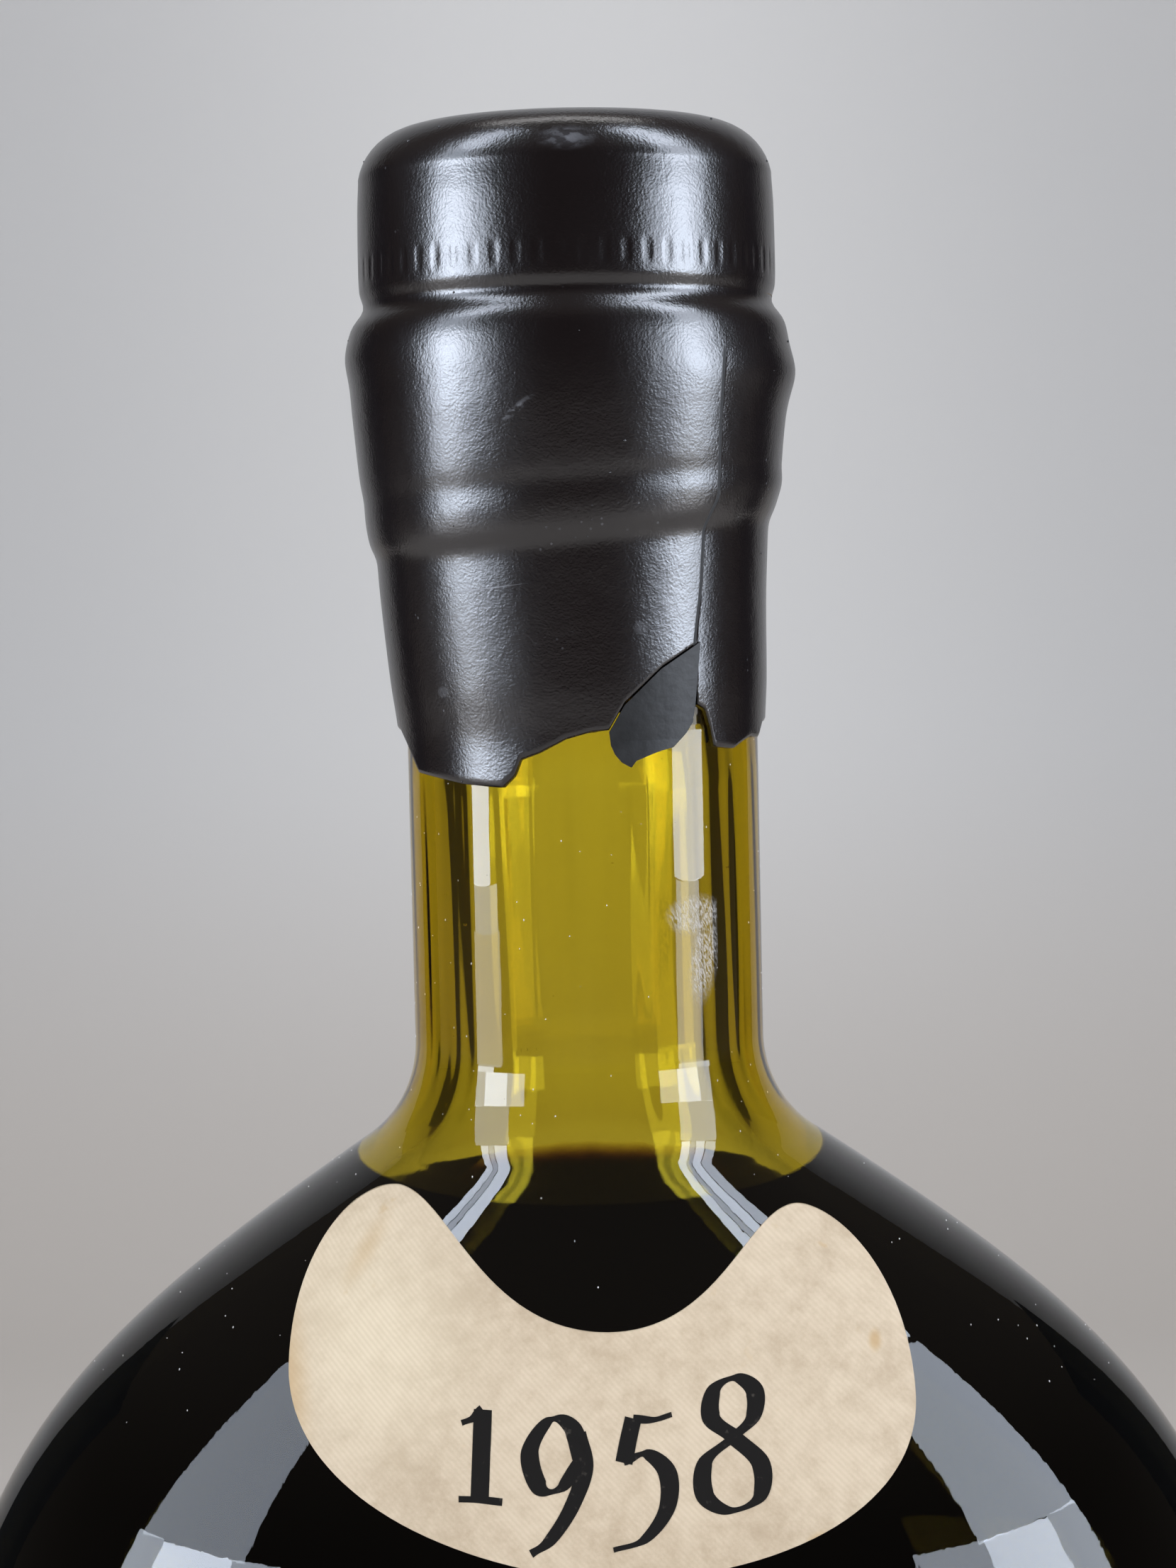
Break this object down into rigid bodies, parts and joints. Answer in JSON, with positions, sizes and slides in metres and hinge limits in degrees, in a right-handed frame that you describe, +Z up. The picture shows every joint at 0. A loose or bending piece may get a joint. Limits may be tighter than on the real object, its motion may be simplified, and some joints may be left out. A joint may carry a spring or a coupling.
{
  "type": "armagnac bottle",
  "caption": "Full armagnac bottle with an oval body, a round neck, a stopper under dipped sealing wax and a horned paper label on the shoulder.",
  "frame": {"origin": "centre of the base, on the plane that the bottle stands on", "axes": "+Z up along the neck, the wide side along X, the labelled front facing -Y"},
  "size_m": [0.11, 0.074, 0.2463],
  "materials": {
    "glass": "gloss",
    "armagnac": "gloss",
    "stopper": "matte",
    "wax": "satin",
    "wax_flake": "satin",
    "paper": "matte"
  },
  "bodies": {
    "root": {"bottle": "glass", "armagnac": "armagnac", "stopper": "stopper", "wax_seal": "wax", "wax_flake": "wax_flake", "neck_label": "paper"}
  },
  "joints": []
}
